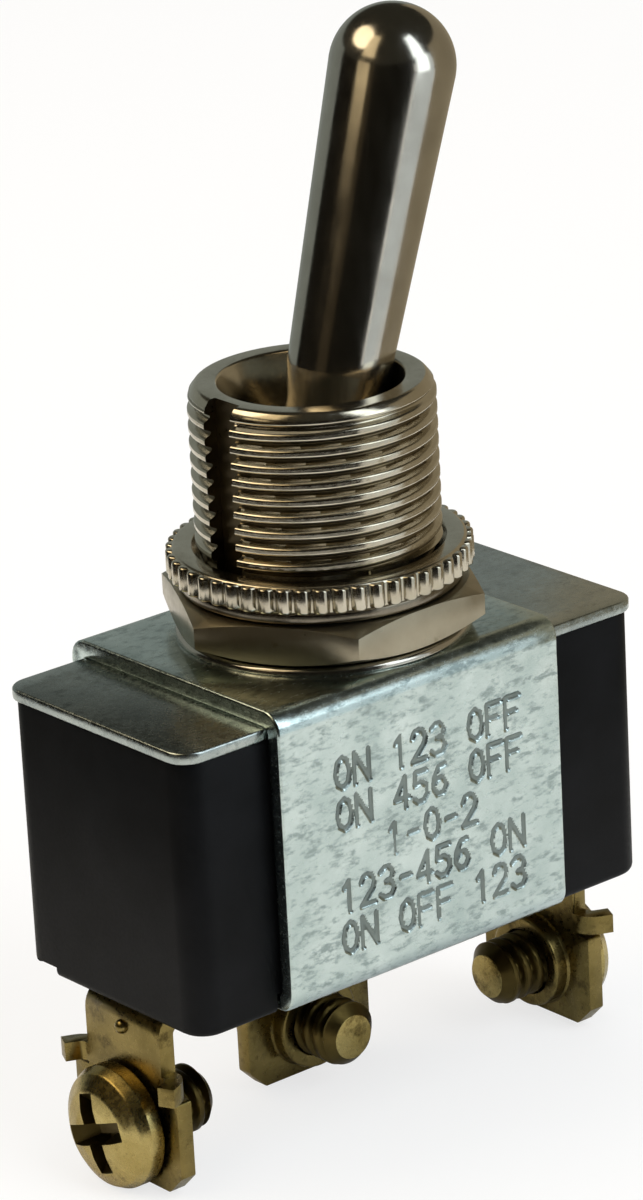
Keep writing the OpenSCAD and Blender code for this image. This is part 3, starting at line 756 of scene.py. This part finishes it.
case_low, case_high = low_mm("case"), high_mm("case")
case_l, case_w = case_high[0] - case_low[0], case_high[1] - case_low[1]
foot, top = case_low[2], case_high[2]
turns = [math.pi / 2 * k / 4 for k in range(5)]
body_stations = ([(foot + 0.4 * (1 - math.cos(t)), 0.4 * (1 - math.sin(t))) for t in turns]
                 + [(top - 0.12, 0), (top, 0.08)])
case = sweep("case", bar(case_l, case_w, 1.4, 8), body_stations)
ledge = low_mm("insulator")[2]
carve(case, [
    slab("lower_room", bar(case_l - 3.6, case_w - 3.0, 0.5), foot + 2.2, top + 1),
    slab("upper_room", bar(case_l - 3.0, case_w - 2.4, 0.6), ledge, top + 1)])
for side in (-1, 1):
    near, far = sorted((side * 5.0, side * 8))
    carve(case, block("foot_room", strap_low[0] - 0.1, strap_high[0] + 0.1, near, far, foot - 1,
                      strap_low[2] + 0.85))
    near, far = sorted((-side * 6.15, -side * 4.15))
    inner, outer = sorted((side * (case_l / 2 - 1), side * (case_l / 2 + 1)))
    carve(case, block("notch", inner, outer, near, far, foot - 1, foot + 0.55))
for x in (-10.4, 0, 10.4):
    rivet_hole = lathe("rivet_hole", [(0, foot - 1), (1, foot - 1), (1, foot + 3), (0, foot + 3)], 40)
    carve(case, move(rivet_hole, at(x, 0, 0)))
finish(case, "moulded_case", "housing", phenolic, ["case"])

# ---------------------------------------------------------------- terminals

STRIP_T = 0.85
ARM_FOOT = foot - STRIP_T
PAD_TOP, PAD_FOOT = -22.6, -28.45
SCREW_Z = -25.7
# How far each pad stands from the middle of the switch
END_REACH, CENTRE_REACH = 13.5, 3.62


def terminal(name, reach, arm_end, place, node):
    """An L of brass strip with a screw pad, curled ears, a drawn boss and a dimple, facing -X."""
    front, back = -reach, -reach + STRIP_T
    strip = slab("strip", rounded([
        (front, PAD_TOP - 0.8, 0), (back, PAD_TOP - 0.8, 0), (back, ARM_FOOT, 0.35),
        (arm_end, ARM_FOOT, 0), (arm_end, foot, 0), (front, foot, 1.2)], 7), -2.8, 2.8)
    move(strip, FACE_Y)
    pad = slab("pad", rounded([
        (-2.9, PAD_FOOT, 0.2), (2.9, PAD_FOOT, 0.2), (3.85, PAD_FOOT + 0.95, 0.2),
        (3.85, PAD_TOP - 1.05, 0.15), (2.8, PAD_TOP - 1.05, 0), (2.8, PAD_TOP, 0), (-2.8, PAD_TOP, 0),
        (-2.8, PAD_TOP - 1.05, 0),
        (-3.85, PAD_TOP - 1.05, 0.15), (-3.85, PAD_FOOT + 0.95, 0.2)], 4), front, back)
    parts = [move(pad, FACE_X)]
    for side in (-1, 1):
        curl = [(front - 0.4 + r * math.cos(math.radians(t)), side * (2.9 + r * math.sin(math.radians(t))))
                for r, span in ((1.25, range(0, 66, 13)), (0.4, range(65, -1, -13))) for t in span]
        far = len(curl) // 2
        reach_on = Vector((-math.sin(math.radians(65)), side * math.cos(math.radians(65)))) * 0.65
        tip = [tuple(Vector(p) + reach_on) for p in curl[far - 1:far + 1]]
        ear = [(front, side * 2.3), (back, side * 2.3)] + curl[:far] + tip + curl[far:]
        parts.append(slab("ear", ear if side > 0 else ear[::-1], PAD_TOP - 0.9, PAD_TOP + 0.05))
    carve(strip, parts, "UNION")
    carve(strip, move(lathe("hole", [(0, -3), (1.69, -3), (1.69, 3), (0, 3)], 64),
                      at(-reach, 0, SCREW_Z) @ FACE_X))
    soften(strip, 0.08, 34)
    boss = move(lathe("boss", rounded([(1.69, -0.2, 0), (2.6, -0.2, 0), (2.36, 0.12, 0.1), (2.35, 0.84, 0.15),
                                       (1.69, 0.84, 0.06)], 4), 72, ring=True),
                at(back, 0, SCREW_Z) @ FACE_X)
    dimple = move(lathe("dimple", arc(0.36, 0, -90, 90, 10), 32), at(front, 0, foot - 1.35))
    whole = move(merged(name, [strip, boss, dimple]), place)
    return finish(whole, name, "housing", aged_brass, [node])


to_right = turn(180, "Z")
to_back = turn(-90, "Z")
terminal("terminal_strip_left", END_REACH, -9, Matrix.Identity(4), "terminal_left")
terminal("terminal_strip_right", END_REACH, -9, to_right, "terminal_right")
terminal("terminal_strip_centre", CENTRE_REACH, 1.8, to_back, "terminal_centre")

# ---------------------------------------------------------------- clamp screws

SCREW_R = 1.64
SCREW_THREAD_DEPTH = 0.36


def screw_radius(angle, r, z):
    """Cuts the helix into the shank, up to the plain neck under the head."""
    if abs(r - SCREW_R) > 1e-6 or z > -0.3:
        return r
    return r - SCREW_THREAD_DEPTH * thread_cut(z / PITCH - angle / (2 * math.pi))


def taper(name, long_top, wide_top, long_low, wide_low, top_z, low_z):
    """A four-sided taper, one wing of the cross recess."""
    ends = ((long_low, wide_low, low_z), (long_top, wide_top, top_z))
    points = [(sx * length / 2, sy * width / 2, z) for length, width, z in ends
              for sx, sy in ((-1, -1), (1, -1), (1, 1), (-1, 1))]
    return solid(name, points, [[3, 2, 1, 0], [4, 5, 6, 7]]
                 + [[k, (k + 1) % 4, (k + 1) % 4 + 4, k + 4] for k in range(4)])


def clamp_screw(name, reach, place, body):
    """A pan-head screw with a cross recess and a cut thread, its head facing -X."""
    shank = [(SCREW_R, -3.95 + 3.6 * k / 56) for k in range(57)]
    outline = ([(0, -4.45), (1.06, -4.45), (1.12, -4.43), (1.54, -3.98)] + shank
               + rounded([(1.5, -0.3, 0), (1.5, 0, 0), (3.05, 0, 0.1), (3.05, 0.75, 0.14), (2.8, 1.24, 0.3),
                          (2.1, 1.72, 0.8), (1.3, 1.92, 0.8), (0, 1.95, 0)], 5))
    piece = lathe(name, outline, 80, radius=screw_radius)
    carve(piece, [move(taper("wing", 4.7, 1.12, 2.0, 0.55, 2.1, 0.8), turn(a, "Z")) for a in (20, 110)])
    # The thread, with its oxide, and whatever of the head lies under its crown, which is the recess, darkened
    # as painted shade
    oxide_and_recess_shade = faces_where(piece, lambda x, y, z: -4.42 < z < -0.05 or z > 0.6 and z < np.interp(
        math.hypot(x, y), (0, 1.3, 2.1, 2.8, 3.05), (1.89, 1.86, 1.64, 1.1, 0.6)) and math.hypot(x, y) < 2.6)
    move(piece, place @ at(-reach - 0.2, 0, SCREW_Z) @ turn(-90, "Y"))
    finish(piece, name, body, screw_brass, [body])
    # Oxide on the shank, painted shade in the recess
    second_finish(piece, brass_oxide_and_recess_shade, oxide_and_recess_shade)


clamp_screw("clamp_screw_left", END_REACH, Matrix.Identity(4), "screw_left")
clamp_screw("clamp_screw_right", END_REACH, to_right, "screw_right")
clamp_screw("clamp_screw_centre", CENTRE_REACH, to_back, "screw_centre")

# ---------------------------------------------------------------- solids that stay as packed

for node, material in (("plunger", nylon), ("plunger_spring", drawn_steel), ("pivot_pin", drawn_steel),
                       ("insulator", fibre), ("contact_rocker", copper), ("moving_contact_left", silver),
                       ("moving_contact_right", silver), ("fixed_contact_left", silver),
                       ("fixed_contact_right", silver), ("fulcrum_bracket", aged_brass),
                       ("centre_rivet", aged_brass)):
    mesh = frame["nodes"][node].data
    mesh.materials.clear()
    mesh.materials.append(material)

# ---------------------------------------------------------------- floor, light, camera

def bare_material(name):
    """A material with an empty node tree."""
    material = bpy.data.materials.new(name)
    material.use_nodes = True
    material.node_tree.nodes.clear()
    return material


# White paper sweep: matt, lifted towards white where the camera sees it, and clear from
# behind, so a view from below shows the switch
FLOOR_HALF, FLOOR_GAP = 3000, 0.02
floor_z = cad_low.z / MM
floor = solid("floor", [(x * FLOOR_HALF, y * FLOOR_HALF, floor_z - FLOOR_GAP)
                        for x, y in ((-1, -1), (1, -1), (1, 1), (-1, 1))], [[0, 1, 2, 3]])
paper = bare_material("white_paper_sweep")
page = paper.node_tree
matt = add(page, "ShaderNodeBsdfDiffuse", {"Color": tint("#f1f1f0")})
glow = add(page, "ShaderNodeEmission", {"Color": (1, 1, 1, 1), "Strength": 1.0})
seen = add(page, "ShaderNodeLightPath")
share = add(page, "ShaderNodeMath", {"operation": "MULTIPLY", 1: 0.74}, {0: seen.outputs["Is Camera Ray"]})
both = add(page, "ShaderNodeMixShader", links={0: share.outputs[0], 1: matt.outputs[0], 2: glow.outputs[0]})
side = add(page, "ShaderNodeNewGeometry")
clear = add(page, "ShaderNodeBsdfTransparent")
sheet = add(page, "ShaderNodeMixShader", links={0: side.outputs["Backfacing"], 1: both.outputs[0],
                                                2: clear.outputs[0]})
add(page, "ShaderNodeOutputMaterial", links={"Surface": sheet.outputs[0]})
floor.data.materials.append(paper)

world = bpy.data.worlds.new("studio")
bpy.context.scene.world = world
world.use_nodes = True
sky = world.node_tree
sky.nodes.clear()
path = add(sky, "ShaderNodeLightPath")
first = add(sky, "ShaderNodeMath", {"operation": "MAXIMUM"},
            {0: path.outputs["Is Camera Ray"], 1: path.outputs["Is Glossy Ray"]})
second = add(sky, "ShaderNodeMath", {"operation": "MAXIMUM"},
             {0: first.outputs[0], 1: path.outputs["Is Transmission Ray"]})
dim = add(sky, "ShaderNodeBackground", {"Color": (1, 1, 1, 1), "Strength": 0.35})
white = add(sky, "ShaderNodeBackground", {"Color": (1, 1, 1, 1), "Strength": 1.0})
mixed = add(sky, "ShaderNodeMixShader", links={0: second.outputs[0], 1: dim.outputs[0], 2: white.outputs[0]})
add(sky, "ShaderNodeOutputWorld", links={"Surface": mixed.outputs[0]})


def lamp(name, azimuth, elevation, distance, size, power, tone, mirrored=True):
    """A soft oval lamp aimed at the switch."""
    data = bpy.data.lights.new(name, "AREA")
    data.shape = "ELLIPSE"
    data.size, data.size_y = size
    data.energy = power
    data.color = tint(tone)[:3]
    obj = bpy.data.objects.new(name, data)
    a, e = math.radians(azimuth), math.radians(elevation)
    way = Vector((math.cos(a) * math.cos(e), math.sin(a) * math.cos(e), math.sin(e)))
    obj.location = way * distance
    obj.rotation_euler = way.to_track_quat("Z", "Y").to_euler()
    obj.visible_glossy = mirrored
    bpy.context.scene.collection.objects.link(obj)


# Lamps that metal would mirror as hard ovals stay out of reflections
lamp("key_lamp", -76, 42, 0.6, (0.42, 0.5), 2.6, "#f4faff", False)
lamp("warm_lamp", 143, 50, 0.6, (0.5, 0.34), 1.5, "#ffe9c4")
lamp("side_lamp", -170, 40, 0.6, (0.4, 0.4), 0.8, "#fff4e2", False)
lamp("top_lamp", 60, 70, 0.6, (0.4, 0.4), 0.8, "#ffffff", False)


def card(name, start, end, radius, low, high, tone, glow=1.0):
    """A curved studio card that only reflections see, so polished metal has something to mirror.
    It runs between two azimuths in degrees, at a radius, from a low edge to a high one."""
    steps = 24
    points, faces = [], []
    for k in range(steps + 1):
        a = math.radians(start + (end - start) * k / steps)
        points += [(radius * math.cos(a), radius * math.sin(a), z) for z in (low, high)]
        if k:
            faces.append([2 * k - 2, 2 * k, 2 * k + 1, 2 * k - 1])
    reflected_only(solid(name, points, faces), tone, glow)


def reflected_only(obj, tone, glow=1.0):
    """Makes a studio piece that glows in its own tone and shows in reflections alone."""
    cloth = bare_material(obj.name + "_cloth")
    shade = add(cloth.node_tree, "ShaderNodeEmission", {"Color": tint(tone), "Strength": glow})
    add(cloth.node_tree, "ShaderNodeOutputMaterial", links={"Surface": shade.outputs[0]})
    obj.data.materials.append(cloth)
    for ray in ("camera", "diffuse", "transmission", "volume_scatter", "shadow"):
        setattr(obj, "visible_" + ray, False)


card("dark_card_front", 121, 272, 85, floor_z, 46, "#1c1a15")
card("brown_card_front", 178, 200, 84, floor_z, 46, "#40382a")
card("warm_strip_front", 164, 189, 82, 33, 47, "#ffe6b8", 1.2)
card("light_card_right", -84, -50, 108, floor_z, 60, "#f2fbff")
card("window_right", -82, -58, 106, 14, 62, "#eef8ff", 3.4)
card("window_top_right", -86, -62, 104, 62, 190, "#eef8ff", 3.6)
card("warm_strip_top", 168, 196, 80, 60, 190, "#ffe6b8", 1.5)
card("warm_card_right", -48, 38, 76, floor_z, 60, "#a2967e")
card("grey_card_back", 38, 121, 112, floor_z, 58, "#979c96")
ceiling = lathe("dark_ceiling", [(950 * math.cos(math.radians(e)), 950 * math.sin(math.radians(e)))
                                 for e in range(12, 90, 6)] + [(0, 950)], 48)
reflected_only(ceiling, "#3a3830")

camera_data = bpy.data.cameras.new("camera")
camera_data.sensor_width = 36
camera_data.sensor_fit = "AUTO"
camera_data.lens = 161.35
camera_data.clip_start = 0.01
camera_data.clip_end = 20
camera = bpy.data.objects.new("camera", camera_data)
bpy.context.scene.collection.objects.link(camera)
azimuth, elevation, roll = (math.radians(v) for v in (-39.19, 20.10, -3.04))
back = Vector((math.sin(azimuth) * math.cos(elevation), -math.cos(azimuth) * math.cos(elevation),
               math.sin(elevation)))
right = Vector((0, 0, 1)).cross(back).normalized()
up = back.cross(right)
side_way = right * math.cos(roll) + up * math.sin(roll)
up_way = up * math.cos(roll) - right * math.sin(roll)
turned = Matrix((side_way, up_way, back)).transposed().to_4x4()
aim = Vector((0.377, 0.531, -3.406)) * MM
camera.matrix_world = Matrix.Translation(aim + back * 0.2552) @ turned
bpy.context.scene.camera = camera
bpy.context.scene.view_settings.view_transform = "Standard"

# ---------------------------------------------------------------- last update

bpy.context.view_layer.update()
